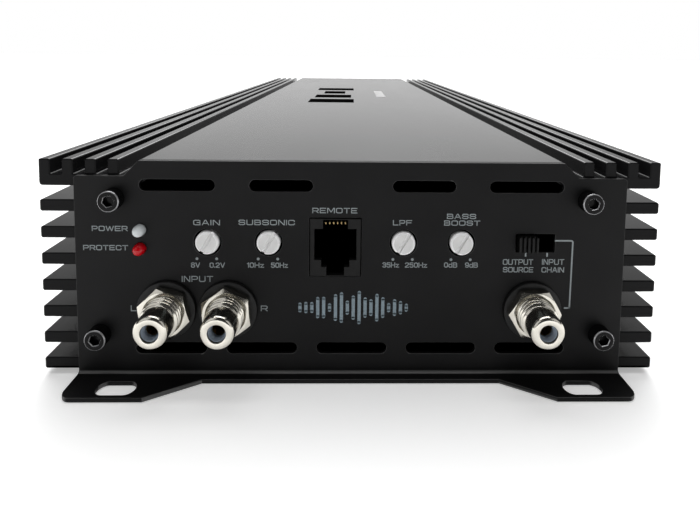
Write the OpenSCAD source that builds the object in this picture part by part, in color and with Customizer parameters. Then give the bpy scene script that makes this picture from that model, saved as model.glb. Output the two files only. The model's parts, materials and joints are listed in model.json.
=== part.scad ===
// Car amplifier, mono, in an extruded heatsink case.
// Frame: X to the right, Y from the control end to the terminal end, Z up, feet on z = 0.

/* [Case] */
// Width over the side fins
case_w = 160; // [156:1:170]
// Height from the underside of the feet to the fin tops
case_h = 57; // [57:0.5:60]
// Length of the extruded heatsink
sink_l = 380; // [360:5:450]
// Width of the end panels, and of the heatsink without its side fins
panel_w = 141.2; // [140:0.1:142]
// Thickness of the sheet steel end panels
sheet_t = 1.2; // [1:0.1:1.5]
// Width of the smooth raised top
plateau_w = 108.4; // [104:0.2:110]
// Height of the raised top and of the top ribs above the shoulders
plateau_rise = 3.9; // [3.5:0.1:4.2]
// Thickness of the heatsink's roof
roof_t = 5; // [4:0.5:5]
// Thickness of the heatsink's side walls
wall_t = 4.5; // [4:0.1:5]
// Thickness of the corner rail that carries the top ribs
rail_t = 6.9; // [6:0.1:7.2]

/* [Fins] */
// Ribs on each shoulder, counted from the outer edge
rib_count = 4; // [3:1:4]
// Spacing of the top ribs
rib_pitch = 5.8; // [5.6:0.1:5.8]
// Width of a top rib
rib_w = 2.8; // [2.2:0.1:3]
// Fins on each side
fin_count = 7; // [5:1:7]
// Spacing of the side fins
fin_pitch = 7; // [6.8:0.1:7]
// Thickness of a side fin
fin_t = 3.1; // [2.6:0.1:3.2]
// Drop from the rib tops to the top of the first side fin
first_fin_drop = 10.5; // [10.3:0.1:10.8]
// Chamfer at the tips of the fins and ribs
tip_cut = 0.5; // [0.3:0.1:0.6]
// Pitch of the serrations under the lowest fin
tooth_pitch = 1; // [0.8:0.1:1.2]
// Depth of the serrations under the lowest fin
tooth_depth = 0.5; // [0.3:0.1:0.6]

/* [Feet] */
// Reach of a foot in front of its panel
foot_reach = 8.8; // [8.6:0.1:11]
// Reach of the flange between the feet
flange_reach = 2.6; // [2.4:0.1:5]
// Length of a mounting slot, end to end
slot_l = 9.6; // [9:0.1:11]
// Width of a mounting slot
slot_w = 4.5; // [4.2:0.1:4.6]
// Distance between the mounting slots across the case
slot_span = 116.4; // [114:0.2:118]
// Distance of a mounting slot from its panel's face
slot_out = 5.5; // [5:0.1:5.5]

/* [Controls] */
// Height of the knob axes
knob_z = 35.9; // [35.5:0.1:37]
// Diameter of a knob
knob_d = 6; // [5.6:0.1:6.2]
// Angle of a knob's screwdriver slot at its lowest setting, from the X axis
knob_slot_angle = 60; // [50:1:70]
// Travel of the mode switch
switch_travel = 4.4; // [3.6:0.1:4.4]
// Height of the phono jack axes
phono_z = 18.4; // [17.5:0.1:18.4]
// Diameter of a phono jack's barrel
phono_d = 8.3; // [8:0.1:8.4]

/* [Terminals] */
// Height of the wire entries
wire_z = 19.5; // [19:0.1:20]
// Diameter of the two supply wire entries
supply_d = 8.4; // [7:0.1:8.6]
// Diameter of the two speaker wire entries
speaker_d = 5.2; // [4:0.1:6]
// Diameter of the remote wire entry
remote_d = 3.2; // [2.5:0.1:3.6]

/* [Hidden] */
$fn = 48;
eps = 0.01;

// Ends of the case: the heatsink's end planes and the outer faces of the panels
end_y = sink_l / 2;
face_y = end_y + sheet_t;
half_w = case_w / 2;
half_panel = panel_w / 2;
wall_x = half_panel - 0.8;
inner_x = wall_x - wall_t;
shoulder_z = case_h - plateau_rise;
roof_z = case_h - roof_t;
plateau_x = plateau_w / 2;
shoulder_t = 4;
tooth_start = half_w - 1.2;
tooth_count = floor((tooth_start - wall_x) / tooth_pitch + 0.5);

// Bend at the foot of each panel
bend_in_r = 0.8;
bend_out_r = bend_in_r + sheet_t;
foot_corner_r = 2.6;
panel_cut = 0.6;
foot_end_x = 50.4;
flange_start_x = 38;

// Fasteners: shank, tapped hole and clearance hole radii
m3_r = 1.45;
m3_tap_r = 1.5;
m3_hole_r = 1.7;
m3_head_r = 2.75;
m3_head_h = 3;
m3_hex_af = 2.5;
m3_hex_depth = 1.5;
port_r = 3.4;
port_cut = 1.6;
port_depth = 14;
end_screw_l = 11;
top_port = [60.5, 47.3];
low_port = [64.7, 11.6];

// Inside: the ledges carry the main board on top and the base plate below
ledge_x = 55.2;
ledge_z = 3.5;
ledge_h = 4.9;
base_z = 2;
sink_low = base_z - 0.5;
base_t = 1.5;
base_gap = 0.2;
board_t = 1.6;
board_z = ledge_z + ledge_h;
board_top = board_z + board_t;
board_x = 61;
board_end_gap = 3;
upper_z = 25.6;
upper_top = upper_z + board_t;
upper_x = 60;
upper_l = 49;
board_screw_x = 58.2;
board_screw_ys = [-165, -95, 85, 160];
base_screw_x = 60.5;
base_screw_ys = [-178, -75, 70, 178];

// Vents: half lengths and places of the slots in each end panel
vent_h = 3;
vent_top_z = case_h - 6.3;
vent_low_z = case_h - 49.2;
vent_outer = [35.1, 54.2];
vent_inner = [10.2, 26.4];
vent_low_l = 18.2;
vent_low_pitch = 23.3;

// Controls: places along X, and depths behind the panel's face
gain_x = -37.1;
subsonic_x = -21.5;
lowpass_x = 13.1;
bass_x = 28.1;
knob_hole_r = 3.55;
knob_proud = 0.8;
knob_back = 2.7;
knob_slot_w = 0.9;
knob_slot_depth = 1;
knob_edge = 0.5;
stem_r = 2;
stem_l = 3.8;
stem_gap = 0.05;
pot_w = 9.7;
pot_d = 6;
pot_front = 3;
pot_top = 5;
switch_x = 47.3;
switch_z = 36;
window_w = 10.2;
window_h = 4.9;
cap_w = 5;
cap_h = 4;
cap_proud = 1.5;
cap_back = 6;
cap_ribs = 5;
cap_groove = 0.55;
cap_groove_depth = 0.9;
slider_lip_t = 1.5;
slider_lip_h = 5.4;
slide_gap = 0.25;
switch_front = 2.3;
switch_body = [15, 6.4, 8.4];
jack_x = -4.4;
jack_w = 13;
jack_h = 15.1;
jack_proud = 0.3;
jack_l = 15.5;
jack_gap = 0.2;
jack_throat = 11.5;
jack_plug = [10.75, 8.1];
jack_comb_w = 6.35;
jack_comb_h = 2.7;
jack_roof = 0.3;
jack_key = [7.2, 2];
jack_latch = [4.5, 3];
jack_step = 0.6;
jack_pitch = 1.02;
jack_wire = 0.45;
jack_wire_l = 10.4;
jack_wire_drop = 1.6;
jack_wire_slope = 14;
led_x = -54.2;
power_led_z = 39;
protect_led_z = 34.2;
led_r = 1.5;
led_gap = 0.1;
led_proud = 0.6;
led_rim_r = 1.9;
led_lead = 0.5;
led_lead_gap = 1.27;

// Phono jacks, from the panel's face outwards: washer, nut, thread, barrel
phono_xs = [-47.5, -31.8, 46.8];
phono_r = phono_d / 2;
washer_r = 7.5;
washer_t = 1;
nut_af = 11.8;
nut_t = 2.2;
thread_r = 4.75;
thread_gap = 0.05;
thread_end = 6.4;
phono_reach = 10.8;
phono_mouth_r = 2.2;
phono_pin_r = 1.65;
phono_core_r = 3.3;
phono_lip = 1;
phono_base = [12, 12, 14];
phono_shell_back = 8;
phono_hole_r = 5;

// Top badge
badge_size = [5.8, 46, 0.5];
badge_at = [18.6, 5.2];
badge_gap = 0.4;

// Power parts along the main board
chip_size = [6.4, 9.6, 4];
transistor_size = [5, 16, 21];
transistor_pitch = 24;
transistor_count = 6;
transistor_z = 16.5;
leg_in = 0.3;
strip_t = 0.5;
strip_l = 140;
leg = 0.8;
leg_pitch = 5.4;
clamp_size = [6, 140, 9];
clamp_z = 22;
clamp_screw_ys = [-48, 0, 48];
clamp_screw_r = 1.95;
transformer_ys = [82, 128];
transformer_r = [9.5, 18];
transformer_h = 16;
choke_ys = [-118, -78];
choke_r = [7, 14];
choke_h = 13;
winding_t = 1.6;
rail_cap_r = 12.5;
rail_cap_h = 34;
rail_cap_ys = [-35, 0, 35];
rail_cap_x = 20;
input_cap_r = 8;
input_cap_h = 30;
input_cap_xs = [-40, 40];
input_cap_ys = [90, 115, 140];

// Terminal blocks: centre, width and wire entries [x, radius, body width]
block_z = 12;
block_h = 18;
block_in = 12;
block_out = 10;
block_gap = 0.2;
supply_at = -28;
supply_w = 48;
speaker_at = 28;
speaker_w = 36;
supply_wires = [[-43, supply_d / 2, 12.6], [-28, remote_d / 2, 7], [-13, supply_d / 2, 12.6]];
speaker_wires = [[20, speaker_d / 2, 10], [36, speaker_d / 2, 10]];
terminal_z = 14;
terminal_h = 13;
terminal_in = 9;
terminal_out = 8.4;
strap_w = 5;
strap_t = 1.5;
terminal_screw_r = 2.4;
terminal_screw_y = 4.5;
terminal_screw_h = 4.4;

last_fin_low = fin_top(fin_count - 1) - fin_t;

function signs() = [-1, 1];
function fin_top(i) = case_h - first_fin_drop - i * fin_pitch;
function knob_xs() = [gain_x, subsonic_x, lowpass_x, bass_x];

// --- helpers ---------------------------------------------------------------

// Lays an XZ outline down as a plate, from y = y0 to y0 + t.
module plate_xz(y0, t) {
    translate([0, y0 + t, 0])
        rotate([90, 0, 0])
            linear_extrude(t)
                children();
}

// A cylinder along Y, from y0 to y1.
module rod_y(x, z, r, y0, y1) {
    translate([x, y1, z])
        rotate([90, 0, 0])
            cylinder(r = r, h = y1 - y0);
}

// A turned piece along Y: its outline is [radius, distance towards -Y from y0].
module turned_y(x, z, y0, outline) {
    translate([x, y0, z])
        rotate([90, 0, 0])
            rotate_extrude()
                polygon(outline);
}

// An obround, centred, along X.
module obround(l, w) {
    square([l - w, w], center = true);
    for (s = signs())
        translate([s * (l - w) / 2, 0])
            circle(d = w);
}

module mirror_pair() {
    children();
    mirror([1, 0, 0])
        children();
}

// A socket head screw pointing along +Z from its head's seat at the origin.
module socket_screw(shank_l) {
    difference() {
        translate([0, 0, -m3_head_h])
            cylinder(r = m3_head_r, h = m3_head_h);
        translate([0, 0, -m3_head_h - eps])
            cylinder(d = m3_hex_af / cos(30), h = m3_hex_depth + eps, $fn = 6);
    }
    cylinder(r = m3_r, h = shank_l);
}

// A pan head screw pointing down from its head's seat at the origin.
module pan_screw(shank_l) {
    difference() {
        cylinder(r = m3_head_r, h = 1.8);
        translate([0, 0, 1])
            cylinder(d = 2.2, h = 1, $fn = 6);
    }
    translate([0, 0, -shank_l])
        cylinder(r = m3_r, h = shank_l + eps);
}

// --- case ------------------------------------------------------------------

// Outlines of one rib and one fin, clockwise, with chamfered tips.
function rib_points(x) = [[x - rib_w, shoulder_z], [x - rib_w, case_h - tip_cut], [x - rib_w + tip_cut, case_h],
    [x - tip_cut, case_h], [x, case_h - tip_cut], [x, shoulder_z]];
function fin_points(top) = [[wall_x, top], [half_w - tip_cut, top], [half_w, top - tip_cut],
    [half_w, top - fin_t + tip_cut], [half_w - tip_cut, top - fin_t]];

// Saw teeth along the underside of the lowest fin.
function tooth_points(low) = [for (i = [0 : tooth_count - 1]) each [
    [tooth_start - (i - 0.45) * tooth_pitch, low], [tooth_start - i * tooth_pitch, low + tooth_depth],
    [tooth_start - (i + 0.45) * tooth_pitch, low]]];

// Blocks inside the wall for the end screws, below and above.
function port_points() = [
    [low_port[0] - port_r, ledge_z + ledge_h], [low_port[0] - port_r, low_port[1] + port_r - port_cut],
    [low_port[0] - port_r + port_cut, low_port[1] + port_r], [inner_x, low_port[1] + port_r],
    [inner_x, top_port[1] - port_r], [top_port[0] - port_r + port_cut, top_port[1] - port_r],
    [top_port[0] - port_r, top_port[1] - port_r + port_cut], [top_port[0] - port_r, shoulder_z - shoulder_t]];

// The right half of the extrusion, from the middle of its top round the fins and back along the inside.
function half_sink_points() = concat(
    [[plateau_x, case_h], [plateau_x + plateau_rise, shoulder_z]],
    [for (i = [rib_count - 1 : -1 : 0]) each rib_points(half_w - i * rib_pitch)],
    [[half_w, case_h - rail_t + tip_cut], [half_w - tip_cut, case_h - rail_t], [wall_x, case_h - rail_t]],
    [for (i = [0 : fin_count - 2]) each concat(fin_points(fin_top(i)), [[wall_x, fin_top(i) - fin_t]])],
    fin_points(fin_top(fin_count - 1)), tooth_points(last_fin_low),
    [[wall_x, last_fin_low], [wall_x, sink_low]],
    [[inner_x, sink_low], [inner_x, ledge_z], [ledge_x, ledge_z], [ledge_x, ledge_z + ledge_h]],
    port_points(),
    [[plateau_x - 2, shoulder_z - shoulder_t], [plateau_x - 2, roof_z]]);

module sink_outline() {
    right = half_sink_points();
    left = [for (i = [len(right) - 1 : -1 : 0]) [-right[i][0], right[i][1]]];
    polygon(concat(right, left));
}

module heatsink() {
    color([0.1, 0.1, 0.11])
        difference() {
            plate_xz(-end_y, sink_l)
                sink_outline();
            for (s = signs(), e = signs(), port = [top_port, low_port])
                rod_y(s * port[0], port[1], m3_tap_r, e > 0 ? end_y - port_depth : -end_y - 1,
                    e > 0 ? end_y + 1 : -end_y + port_depth);
            for (s = signs(), y = board_screw_ys)
                translate([s * board_screw_x, y, ledge_z - 1])
                    cylinder(r = m3_tap_r, h = ledge_h + 2);
            for (s = signs(), y = base_screw_ys)
                translate([s * base_screw_x, y, ledge_z - 1])
                    cylinder(r = m3_tap_r, h = ledge_h + 1.5);
            for (s = signs(), y = clamp_screw_ys)
                translate([s * (inner_x - 0.5), y, clamp_z + clamp_size[2] / 2])
                    rotate([0, s * 90, 0])
                        cylinder(r = clamp_screw_r + 0.05, h = wall_t);
            translate([badge_at[0], badge_at[1], case_h])
                cube([badge_size[0] + 2 * badge_gap, badge_size[1] + 2 * badge_gap, 2 * badge_size[2]],
                    center = true);
        }
}

module panel_outline() {
    mirror_pair()
        polygon([[0, bend_out_r], [half_panel, bend_out_r], [half_panel, shoulder_z - panel_cut],
            [half_panel - panel_cut, shoulder_z], [plateau_x + plateau_rise, shoulder_z],
            [plateau_x, case_h], [0, case_h]]);
}

module vent_outlines() {
    for (s = signs(), span = [vent_outer, vent_inner])
        translate([s * (span[0] + span[1]) / 2, vent_top_z])
            obround(span[1] - span[0], vent_h);
    for (i = [-2 : 2])
        translate([i * vent_low_pitch, vent_low_z])
            obround(vent_low_l, vent_h);
}

// Half of the flange in plan: x to the side, y outwards from the panel's face.
module half_flange_outline() {
    corner = half_panel - foot_corner_r;
    polygon([[-1, bend_in_r], [half_panel, bend_in_r], [half_panel, foot_reach - foot_corner_r],
        [corner, foot_reach - foot_corner_r], [corner, foot_reach], [foot_end_x, foot_reach],
        [flange_start_x, flange_reach], [-1, flange_reach]]);
    translate([corner, foot_reach - foot_corner_r])
        circle(r = foot_corner_r);
}

// The sheet steel of the front panel without its control cut-outs, its outer face at -face_y.
module panel_blank() {
    plate_xz(-face_y, sheet_t)
        difference() {
            panel_outline();
            vent_outlines();
            for (s = signs(), port = [top_port, low_port])
                translate([s * port[0], port[1]])
                    circle(r = m3_hole_r);
        }
    translate([-half_panel, -face_y - bend_in_r, bend_out_r])
        rotate([90, 0, 90])
            linear_extrude(panel_w)
                intersection() {
                    difference() {
                        circle(r = bend_out_r);
                        circle(r = bend_in_r);
                    }
                    translate([0, -bend_out_r])
                        square(bend_out_r);
                }
    translate([0, -face_y, 0])
        linear_extrude(sheet_t)
            difference() {
                mirror([0, 1])
                    mirror_pair()
                        half_flange_outline();
                for (s = signs())
                    translate([s * slot_span / 2, -slot_out])
                        obround(slot_l, slot_w);
            }
}

module front_panel() {
    color([0.08, 0.08, 0.085])
        difference() {
            panel_blank();
            for (x = knob_xs())
                rod_y(x, knob_z, knob_hole_r, -face_y - 1, -end_y + 1);
            for (x = phono_xs)
                rod_y(x, phono_z, phono_hole_r, -face_y - 1, -end_y + 1);
            for (z = [power_led_z, protect_led_z])
                rod_y(led_x, z, led_r + led_gap, -face_y - 1, -end_y + 1);
            translate([switch_x - window_w / 2, -face_y - 1, switch_z - window_h / 2])
                cube([window_w, sheet_t + 2, window_h]);
            translate([jack_x - jack_w / 2 - jack_gap, -face_y - 1, upper_top - jack_gap])
                cube([jack_w + 2 * jack_gap, sheet_t + 2, jack_h + 2 * jack_gap]);
        }
}

module block_window(at, w) {
    translate([at - w / 2 - block_gap, end_y - 1, block_z - block_gap])
        cube([w + 2 * block_gap, sheet_t + 2, block_h + 2 * block_gap]);
}

module rear_panel() {
    color([0.08, 0.08, 0.085])
        difference() {
            mirror([0, 1, 0])
                panel_blank();
            block_window(supply_at, supply_w);
            block_window(speaker_at, speaker_w);
        }
}

module base_plate() {
    plate_x = inner_x - base_gap;
    color([0.12, 0.12, 0.125])
        difference() {
            translate([-plate_x, -end_y + base_gap, base_z])
                cube([2 * plate_x, sink_l - 2 * base_gap, base_t]);
            for (s = signs(), y = base_screw_ys)
                translate([s * base_screw_x, y, base_z - eps])
                    cylinder(r1 = m3_head_r + 0.1, r2 = m3_hole_r, h = base_t + 2 * eps);
        }
}

module end_panel_screws() {
    color([0.06, 0.06, 0.065])
        for (s = signs(), e = signs(), port = [top_port, low_port])
            translate([s * port[0], e * face_y, port[1]])
                rotate([e * 90, 0, 0])
                    socket_screw(end_screw_l);
}

module base_screws() {
    color([0.1, 0.1, 0.1])
        for (s = signs(), y = base_screw_ys)
            translate([s * base_screw_x, y, base_z])
                difference() {
                    union() {
                        cylinder(r1 = m3_head_r, r2 = m3_r, h = base_t);
                        cylinder(r = m3_r, h = base_t + 4.5);
                    }
                    translate([0, 0, -eps])
                        cylinder(d = 2.2, h = 1, $fn = 6);
                }
}

module top_badge() {
    color([0.8, 0.8, 0.8])
        translate([badge_at[0], badge_at[1], case_h - badge_size[2] / 2])
            cube(badge_size, center = true);
}

// --- boards ----------------------------------------------------------------

module main_board() {
    l = sink_l - 2 * board_end_gap;
    color([0.1, 0.35, 0.18])
        difference() {
            translate([-board_x, -l / 2, board_z])
                cube([2 * board_x, l, board_t]);
            for (s = signs(), y = board_screw_ys)
                translate([s * board_screw_x, y, board_z - 1])
                    cylinder(r = m3_hole_r, h = board_t + 2);
            standoff_places()
                translate([0, 0, board_z - 1])
                    cylinder(r = m3_hole_r, h = board_t + 2);
        }
}

module standoff_places() {
    for (s = signs(), y = [-172, -146])
        translate([s * 52, y, 0])
            children();
}

module preamp_board() {
    color([0.1, 0.35, 0.18])
        difference() {
            translate([-upper_x, -end_y + 1.5, upper_z])
                cube([2 * upper_x, upper_l, board_t]);
            standoff_places()
                translate([0, 0, upper_z - 1])
                    cylinder(r = m3_hole_r, h = board_t + 2);
        }
}

module board_screws() {
    color([0.7, 0.7, 0.7])
        for (s = signs(), y = board_screw_ys)
            translate([s * board_screw_x, y, board_top])
                pan_screw(5.5);
}

// Hexagonal spacers between the two boards, tapped from above, with a stud through the main board.
module board_standoffs() {
    color([0.8, 0.65, 0.3])
        standoff_places()
            difference() {
                union() {
                    translate([0, 0, board_top])
                        cylinder(d = 6.4, h = upper_z - board_top, $fn = 6);
                    translate([0, 0, board_z - 2])
                        cylinder(r = m3_r, h = board_t + 2 + eps);
                }
                translate([0, 0, upper_z - 8])
                    cylinder(r = m3_tap_r, h = 9);
            }
}

module preamp_screws() {
    color([0.7, 0.7, 0.7])
        standoff_places()
            translate([0, 0, upper_top])
                pan_screw(7);
}

// --- controls --------------------------------------------------------------

module pot_body(x) {
    front = -face_y + pot_front;
    color([0.15, 0.2, 0.35])
        difference() {
            translate([x - pot_w / 2, front, upper_top])
                cube([pot_w, pot_d, knob_z + pot_top - upper_top]);
            rod_y(x, knob_z, stem_r + stem_gap, front - 1, front + stem_l + 0.3);
        }
}

// A trimmer knob with a screwdriver slot, and its stem in the pot's body.
module knob(x) {
    front = -face_y - knob_proud;
    rear = -face_y + knob_back;
    r = knob_d / 2;
    l = rear - front;
    color([0.75, 0.75, 0.74])
        difference() {
            union() {
                turned_y(x, knob_z, rear, [[0, 0], [r, 0], [r, l - knob_edge], [r - knob_edge, l], [0, l]]);
                rod_y(x, knob_z, stem_r, rear - eps, rear + stem_l);
            }
            translate([x, front, knob_z])
                rotate([0, -knob_slot_angle, 0])
                    cube([knob_d + 1, 2 * knob_slot_depth, knob_slot_w], center = true);
        }
}

module gain_pot_body() { pot_body(gain_x); }
module gain_knob() { knob(gain_x); }
module subsonic_pot_body() { pot_body(subsonic_x); }
module subsonic_knob() { knob(subsonic_x); }
module lowpass_pot_body() { pot_body(lowpass_x); }
module lowpass_knob() { knob(lowpass_x); }
module bass_pot_body() { pot_body(bass_x); }
module bass_knob() { knob(bass_x); }

module mode_switch_body() {
    front = -face_y + switch_front;
    color([0.12, 0.12, 0.12])
        difference() {
            union() {
                translate([switch_x - switch_body[0] / 2, front, switch_z - switch_body[2] / 2])
                    cube(switch_body);
                translate([switch_x - 5, front + 1, upper_top])
                    cube([10, 4, switch_z - upper_top - 1]);
            }
            translate([switch_x, front, switch_z])
                cube([cap_w + switch_travel + 2 * slide_gap, 4, cap_h + 2 * slide_gap], center = true);
            translate([switch_x - (cap_w + switch_travel) / 2 - slide_gap,
                -face_y + cap_back - slider_lip_t - slide_gap, switch_z - slider_lip_h / 2 - slide_gap])
                cube([cap_w + switch_travel + 2 * slide_gap, slider_lip_t + 2 * slide_gap,
                    slider_lip_h + 2 * slide_gap]);
        }
}

// The mode switch's slider at its left stop, ribbed on its face.
module mode_slider() {
    front = -face_y - cap_proud;
    x0 = switch_x - (cap_w + switch_travel) / 2;
    pitch = (cap_w + cap_groove) / cap_ribs;
    color([0.1, 0.1, 0.1])
        difference() {
            union() {
                translate([x0, front, switch_z - cap_h / 2])
                    cube([cap_w, cap_proud + cap_back, cap_h]);
                translate([x0, -face_y + cap_back - slider_lip_t, switch_z - slider_lip_h / 2])
                    cube([cap_w, slider_lip_t, slider_lip_h]);
            }
            for (i = [1 : cap_ribs - 1])
                translate([x0 + i * pitch - cap_groove, front - 1, switch_z - cap_h])
                    cube([cap_groove, 1 + cap_groove_depth, 2 * cap_h]);
        }
}

// Mouth of the modular jack, from its face: plug cavity, key step, latch notch and contact comb.
module jack_mouth() {
    y = -face_y - jack_proud - 1;
    deep = jack_throat + 1;
    comb_z = upper_top + jack_h - jack_roof - jack_comb_h;
    plug_z = comb_z + 0.35 - jack_plug[1];
    key_z = plug_z + 0.35 - jack_key[1];
    latch_z = key_z + 0.85 - jack_latch[1];
    translate([jack_x - jack_plug[0] / 2, y, plug_z])
        cube([jack_plug[0], deep, jack_plug[1]]);
    translate([jack_x - jack_plug[0] / 2, y, comb_z])
        cube([jack_plug[0], 1 + jack_step, jack_comb_h]);
    translate([jack_x - jack_comb_w / 2, y, comb_z])
        cube([jack_comb_w, deep, jack_comb_h]);
    translate([jack_x - jack_key[0] / 2, y, key_z])
        cube([jack_key[0], deep, jack_key[1]]);
    translate([jack_x - jack_latch[0] / 2, y, latch_z])
        cube([jack_latch[0], deep, jack_latch[1]]);
}

module remote_jack_housing() {
    color([0.09, 0.09, 0.09])
        difference() {
            translate([jack_x - jack_w / 2, -face_y - jack_proud, upper_top])
                cube([jack_w, jack_l, jack_h]);
            jack_mouth();
        }
}

// Six sprung wires that slope down from the comb to the back of the cavity.
module remote_jack_contacts() {
    back = -face_y - jack_proud + jack_throat;
    color([0.85, 0.68, 0.3])
        for (i = [0 : 5])
            translate([jack_x + (i - 2.5) * jack_pitch - jack_wire / 2, 0, upper_top + jack_h - jack_wire_drop])
                difference() {
                    translate([0, back - jack_wire_l, 0])
                        rotate([-jack_wire_slope, 0, 0])
                            cube([jack_wire, jack_wire_l + 2, jack_wire]);
                    translate([-1, back, -6])
                        cube([3, 6, 8]);
                }
}

// An LED with a domed lens, its rim behind the panel, and two leads bent down to the upper board.
module led(z, lead_y) {
    nose = -face_y - led_proud;
    rod_y(led_x, z, led_r, nose, -end_y + 1.4);
    translate([led_x, nose, z])
        sphere(r = led_r);
    rod_y(led_x, z, led_rim_r, -end_y + 0.4, -end_y + 1.4);
    for (s = signs())
        translate([led_x + s * led_lead_gap - led_lead / 2, 0, 0]) {
            translate([0, -end_y + 1.3, z - led_lead / 2])
                cube([led_lead, end_y - 1.3 - lead_y, led_lead]);
            translate([0, -lead_y - led_lead, upper_top])
                cube([led_lead, led_lead, z + led_lead / 2 - upper_top]);
        }
}

module power_led() {
    color([0.9, 0.95, 1])
        led(power_led_z, end_y - 7);
}

module protect_led() {
    color([0.8, 0.05, 0.05])
        led(protect_led_z, end_y - 4);
}

// --- phono jacks -----------------------------------------------------------

// Threaded metal shell: distances run from the shell's inner end, behind the panel, to its mouth.
module phono_shell(x) {
    l = phono_shell_back + phono_reach;
    step = phono_shell_back + thread_end;
    color([0.78, 0.76, 0.72])
        turned_y(x, phono_z, -face_y + phono_shell_back, [[phono_core_r, 0], [thread_r, 0],
            [thread_r, step], [phono_r, step], [phono_r, l - 0.5], [phono_r - 0.15, l - 0.2],
            [phono_r - 0.5, l], [phono_mouth_r, l], [phono_mouth_r, l - phono_lip],
            [phono_core_r, l - phono_lip]]);
}

module left_input_shell() { phono_shell(phono_xs[0]); }
module right_input_shell() { phono_shell(phono_xs[1]); }
module link_shell() { phono_shell(phono_xs[2]); }

module phono_bases() {
    color([0.1, 0.1, 0.1])
        for (x = phono_xs)
            difference() {
                translate([x - phono_base[0] / 2, -end_y, board_top])
                    cube([phono_base[0], phono_base[1], phono_base[2]]);
                rod_y(x, phono_z, thread_r + thread_gap, -end_y - 1, -face_y + phono_shell_back);
                rod_y(x, phono_z, phono_pin_r + 0.35, -end_y, -end_y + phono_base[1] + 1);
            }
}

// Plastic liners inside the shells, with a funnel at the mouth.
module phono_insulators() {
    l = phono_shell_back + phono_reach;
    core = phono_core_r - thread_gap;
    mouth = phono_mouth_r - thread_gap;
    color([0.55, 0.62, 0.7])
        for (x = phono_xs)
            turned_y(x, phono_z, -face_y + phono_shell_back, [[phono_pin_r + 0.35, 0], [core, 0],
                [core, l - phono_lip - thread_gap], [mouth, l - phono_lip - thread_gap], [mouth, l - 0.4],
                [phono_pin_r, l - 1.4], [phono_pin_r, l - 2.4], [phono_pin_r + 0.35, l - 2.4]]);
}

module phono_contacts() {
    l = phono_shell_back + phono_reach;
    color([0.8, 0.7, 0.4])
        for (x = phono_xs)
            turned_y(x, phono_z, -face_y + phono_shell_back + 2, [[phono_pin_r, 0], [phono_pin_r + 0.3, 0],
                [phono_pin_r + 0.3, l - 0.5], [phono_pin_r, l - 0.5]]);
}

module phono_nuts() {
    turns = [104, 95, 60];
    color([0.78, 0.76, 0.72])
        for (i = [0 : 2])
            translate([phono_xs[i], -face_y - washer_t, phono_z])
                rotate([90, 0, 0])
                    difference() {
                        rotate([0, 0, turns[i]])
                            cylinder(d = nut_af / cos(30), h = nut_t, $fn = 6);
                        translate([0, 0, -1])
                            cylinder(r = thread_r + thread_gap, h = nut_t + 2);
                    }
}

module phono_washers() {
    color([0.05, 0.05, 0.05])
        for (x = phono_xs)
            difference() {
                rod_y(x, phono_z, washer_r, -face_y - washer_t, -face_y);
                rod_y(x, phono_z, thread_r + thread_gap, -face_y - washer_t - 1, -face_y + 1);
            }
}

// --- electronics -----------------------------------------------------------

module chip(x, y, z, size) {
    translate([x - size[0] / 2, y - size[1] / 2, z + 0.8])
        cube([size[0], size[1], size[2] - 0.8]);
    for (s = signs(), i = [-1.5 : 1.5])
        translate([x + s * size[0] / 2 - 0.4, y + i * 2.2 - 0.3, z])
            cube([0.8, 0.6, size[2] / 2]);
}

module preamp_chips() {
    color([0.08, 0.08, 0.08])
        for (x = [-40, -20, 0, 20, 40])
            chip(x, -158, upper_top, chip_size);
}

module driver_chips() {
    color([0.08, 0.08, 0.08])
        for (x = [-30, 0, 30], y = [-156, -141])
            chip(x, y, board_top, chip_size);
}

module ring_core(r, h, at) {
    translate([0, at, board_top + winding_t])
        difference() {
            cylinder(r = r[1], h = h);
            translate([0, 0, -1])
                cylinder(r = r[0], h = h + 2);
        }
}

// The copper on a ring core, as one closed sleeve round it.
module ring_winding(r, h, at) {
    translate([0, at, board_top])
        difference() {
            cylinder(r = r[1] + winding_t, h = h + 2 * winding_t);
            translate([0, 0, -1])
                cylinder(r = r[0] - winding_t, h = h + 2 * winding_t + 2);
            translate([0, 0, winding_t])
                difference() {
                    cylinder(r = r[1], h = h);
                    translate([0, 0, -1])
                        cylinder(r = r[0], h = h + 2);
                }
        }
}

module transformer_cores() {
    color([0.2, 0.2, 0.22])
        for (y = transformer_ys)
            ring_core(transformer_r, transformer_h, y);
}

module transformer_windings() {
    color([0.72, 0.38, 0.16])
        for (y = transformer_ys)
            ring_winding(transformer_r, transformer_h, y);
}

module choke_cores() {
    color([0.75, 0.7, 0.2])
        for (y = choke_ys)
            ring_core(choke_r, choke_h, y);
}

module choke_windings() {
    color([0.72, 0.38, 0.16])
        for (y = choke_ys)
            ring_winding(choke_r, choke_h, y);
}

// An electrolytic can with its rolled groove near the foot and a domed rubber seal below it.
module capacitor(x, y, r, h) {
    translate([x, y, board_top])
        rotate_extrude()
            polygon([[0, 0], [r - 0.6, 0], [r, 0.6], [r, 2.4], [r - 0.7, 3], [r, 3.6], [r, h - 0.6],
                [r - 0.6, h], [0, h]]);
}

module rail_capacitors() {
    color([0.1, 0.1, 0.14])
        for (s = signs(), y = rail_cap_ys)
            capacitor(s * rail_cap_x, y, rail_cap_r, rail_cap_h);
}

module input_capacitors() {
    color([0.1, 0.1, 0.14])
        for (x = input_cap_xs, y = input_cap_ys)
            capacitor(x, y, input_cap_r, input_cap_h);
}

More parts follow.
